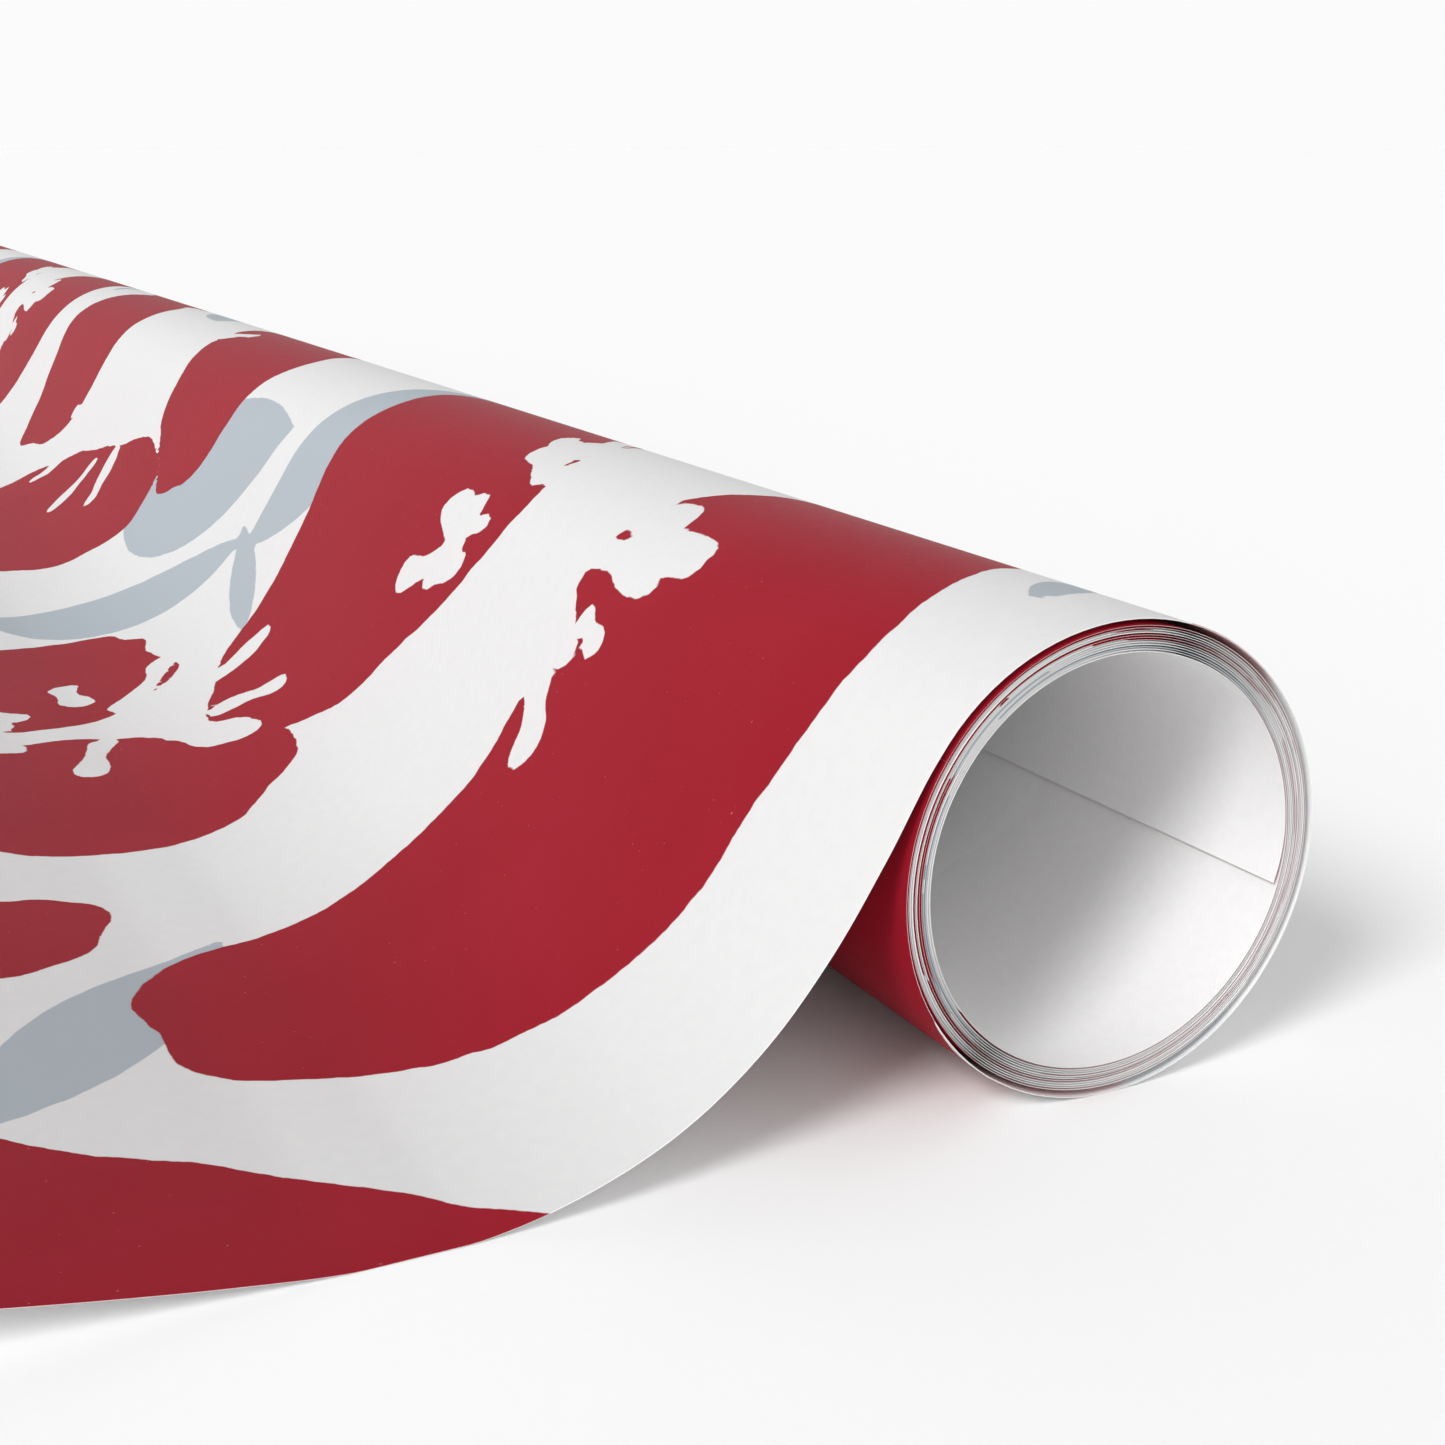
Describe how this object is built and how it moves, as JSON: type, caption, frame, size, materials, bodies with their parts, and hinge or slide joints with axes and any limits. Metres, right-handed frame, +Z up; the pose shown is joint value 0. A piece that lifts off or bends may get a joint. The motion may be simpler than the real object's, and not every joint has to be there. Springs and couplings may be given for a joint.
{
  "type": "roll of gift wrap paper",
  "caption": "Long coreless roll of patterned wrapping paper lying on its side, its outer end drawn off as a leaf that curves down to the table.",
  "frame": {"origin": "centre of the object's box, at the level of the table that it lies on", "axes": "+X along the roll, +Z up, the free leaf leaves towards -Y"},
  "size_m": [0.762, 0.1404, 0.0449],
  "materials": {
    "printed_paper": "smooth coated gift wrap, red brushed print with grey on white, satin",
    "wound_paper": "white uncoated back and cut edges, matt"
  },
  "bodies": {
    "outer_turn": {"outer_turn_01": "printed_paper", "outer_turn_02": "printed_paper", "outer_turn_03": "printed_paper", "outer_turn_04": "printed_paper", "outer_turn_05": "printed_paper", "outer_turn_06": "printed_paper", "outer_turn_07": "printed_paper", "outer_turn_08": "printed_paper"},
    "leaf_strip_01": {"leaf_strip_01": "printed_paper"},
    "leaf_strip_02": {"leaf_strip_02": "printed_paper"},
    "leaf_strip_03": {"leaf_strip_03": "printed_paper"},
    "leaf_strip_04": {"leaf_strip_04": "printed_paper"},
    "leaf_strip_05": {"leaf_strip_05": "printed_paper"},
    "leaf_strip_06": {"leaf_strip_06": "printed_paper"},
    "leaf_strip_07": {"leaf_strip_07": "printed_paper"},
    "leaf_strip_08": {"leaf_strip_08": "printed_paper"},
    "leaf_strip_09": {"leaf_strip_09": "printed_paper"},
    "leaf_strip_10": {"leaf_strip_10": "printed_paper"},
    "leaf_strip_11": {"leaf_strip_11": "printed_paper"},
    "leaf_strip_12": {"leaf_strip_12": "printed_paper"},
    "turn_11": {"turn_11": "wound_paper"},
    "turn_10": {"turn_10": "wound_paper"},
    "turn_09": {"turn_09": "wound_paper"},
    "turn_08": {"turn_08": "wound_paper"},
    "turn_07": {"turn_07": "wound_paper"},
    "turn_06": {"turn_06": "wound_paper"},
    "turn_05": {"turn_05": "wound_paper"},
    "turn_04": {"turn_04": "wound_paper"},
    "turn_03": {"turn_03": "wound_paper"},
    "turn_02": {"turn_02": "wound_paper"},
    "turn_01": {"turn_01": "wound_paper"},
    "inner_end_turn": {"inner_end_turn": "wound_paper"}
  },
  "joints": [
    {"name": "leaf_bend_01", "type": "hinge", "parent": "outer_turn", "child": "leaf_strip_01", "pos_m": [0, 0.02874, 0.03488], "axis": [1, 0, 0], "range_deg": [-2.36, 9.24]},
    {"name": "leaf_bend_02", "type": "hinge", "parent": "leaf_strip_01", "child": "leaf_strip_02", "pos_m": [0, 0.02381, 0.02664], "axis": [1, 0, 0], "range_deg": [-7, 27.49], "stiffness_Nm_per_rad": 0.25},
    {"name": "leaf_bend_03", "type": "hinge", "parent": "leaf_strip_02", "child": "leaf_strip_03", "pos_m": [0, 0.01855, 0.01868], "axis": [1, 0, 0], "range_deg": [-7.84, 30.76]},
    {"name": "leaf_bend_04", "type": "hinge", "parent": "leaf_strip_03", "child": "leaf_strip_04", "pos_m": [0, 0.01227, 0.01143], "axis": [1, 0, 0], "range_deg": [-9.1, 35.69]},
    {"name": "leaf_bend_05", "type": "hinge", "parent": "leaf_strip_04", "child": "leaf_strip_05", "pos_m": [0, 0.00468, 0.00567], "axis": [1, 0, 0], "range_deg": [-9.67, 37.95]},
    {"name": "leaf_bend_06", "type": "hinge", "parent": "leaf_strip_05", "child": "leaf_strip_06", "pos_m": [0, -0.00412, 0.0019], "axis": [1, 0, 0], "range_deg": [-9.26, 36.31]},
    {"name": "leaf_bend_07", "type": "hinge", "parent": "leaf_strip_06", "child": "leaf_strip_07", "pos_m": [0, -0.01351, 0.00005], "axis": [1, 0, 0], "range_deg": [-9.02, 35.38]},
    {"name": "leaf_bend_08", "type": "hinge", "parent": "leaf_strip_07", "child": "leaf_strip_08", "pos_m": [0, -0.0231, 0.00005], "axis": [1, 0, 0], "range_deg": [-7.82, 30.67]},
    {"name": "leaf_bend_09", "type": "hinge", "parent": "leaf_strip_08", "child": "leaf_strip_09", "pos_m": [0, -0.0326, 0.00118], "axis": [1, 0, 0], "range_deg": [-6.59, 25.87]},
    {"name": "leaf_bend_10", "type": "hinge", "parent": "leaf_strip_09", "child": "leaf_strip_10", "pos_m": [0, -0.04208, 0.00267], "axis": [1, 0, 0], "range_deg": [-6.38, 25.01]},
    {"name": "leaf_bend_11", "type": "hinge", "parent": "leaf_strip_10", "child": "leaf_strip_11", "pos_m": [0, -0.05148, 0.00436], "axis": [1, 0, 0], "range_deg": [-6.12, 24]},
    {"name": "leaf_bend_12", "type": "hinge", "parent": "leaf_strip_11", "child": "leaf_strip_12", "pos_m": [0, -0.06092, 0.00612], "axis": [1, 0, 0], "range_deg": [-6.07, 23.8]},
    {"name": "turn_slip_11", "type": "slide", "parent": "outer_turn", "child": "turn_11", "axis": [1, 0, 0], "range_m": [-0.002, 0.002]},
    {"name": "turn_slip_10", "type": "slide", "parent": "turn_11", "child": "turn_10", "axis": [1, 0, 0], "range_m": [-0.00201, 0.00201]},
    {"name": "turn_slip_09", "type": "slide", "parent": "turn_10", "child": "turn_09", "axis": [1, 0, 0], "range_m": [-0.00201, 0.00201]},
    {"name": "turn_slip_08", "type": "slide", "parent": "turn_09", "child": "turn_08", "axis": [1, 0, 0], "range_m": [-0.00201, 0.00201]},
    {"name": "turn_slip_07", "type": "slide", "parent": "turn_08", "child": "turn_07", "axis": [1, 0, 0], "range_m": [-0.00201, 0.00201]},
    {"name": "turn_slip_06", "type": "slide", "parent": "turn_07", "child": "turn_06", "axis": [1, 0, 0], "range_m": [-0.00201, 0.00201]},
    {"name": "turn_slip_05", "type": "slide", "parent": "turn_06", "child": "turn_05", "axis": [1, 0, 0], "range_m": [-0.00201, 0.00201]},
    {"name": "turn_slip_04", "type": "slide", "parent": "turn_05", "child": "turn_04", "axis": [1, 0, 0], "range_m": [-0.00201, 0.00201]},
    {"name": "turn_slip_03", "type": "slide", "parent": "turn_04", "child": "turn_03", "axis": [1, 0, 0], "range_m": [-0.00201, 0.00201]},
    {"name": "turn_slip_02", "type": "slide", "parent": "turn_03", "child": "turn_02", "axis": [1, 0, 0], "range_m": [-0.00201, 0.00201]},
    {"name": "turn_slip_01", "type": "slide", "parent": "turn_02", "child": "turn_01", "axis": [1, 0, 0], "range_m": [-0.00201, 0.00201]},
    {"name": "inner_end_slip", "type": "slide", "parent": "turn_01", "child": "inner_end_turn", "axis": [1, 0, 0], "range_m": [-0.00201, 0.00201]}
  ],
  "couplings": [
    {"joint": "leaf_bend_01", "follows": "leaf_bend_02", "ratio": 0.33565},
    {"joint": "leaf_bend_03", "follows": "leaf_bend_02", "ratio": 1.1186},
    {"joint": "leaf_bend_04", "follows": "leaf_bend_02", "ratio": 1.298},
    {"joint": "leaf_bend_05", "follows": "leaf_bend_02", "ratio": 1.3802},
    {"joint": "leaf_bend_06", "follows": "leaf_bend_02", "ratio": 1.3207},
    {"joint": "leaf_bend_07", "follows": "leaf_bend_02", "ratio": 1.2865},
    {"joint": "leaf_bend_08", "follows": "leaf_bend_02", "ratio": 1.1155},
    {"joint": "leaf_bend_09", "follows": "leaf_bend_02", "ratio": 0.9407},
    {"joint": "leaf_bend_10", "follows": "leaf_bend_02", "ratio": 0.90934},
    {"joint": "leaf_bend_11", "follows": "leaf_bend_02", "ratio": 0.87252},
    {"joint": "leaf_bend_12", "follows": "leaf_bend_02", "ratio": 0.86532},
    {"joint": "turn_slip_10", "follows": "turn_slip_11", "ratio": 1},
    {"joint": "turn_slip_09", "follows": "turn_slip_11", "ratio": 1},
    {"joint": "turn_slip_08", "follows": "turn_slip_11", "ratio": 1},
    {"joint": "turn_slip_07", "follows": "turn_slip_11", "ratio": 1},
    {"joint": "turn_slip_06", "follows": "turn_slip_11", "ratio": 1},
    {"joint": "turn_slip_05", "follows": "turn_slip_11", "ratio": 1},
    {"joint": "turn_slip_04", "follows": "turn_slip_11", "ratio": 1},
    {"joint": "turn_slip_03", "follows": "turn_slip_11", "ratio": 1},
    {"joint": "turn_slip_02", "follows": "turn_slip_11", "ratio": 1},
    {"joint": "turn_slip_01", "follows": "turn_slip_11", "ratio": 1},
    {"joint": "inner_end_slip", "follows": "turn_slip_11", "ratio": 1}
  ]
}
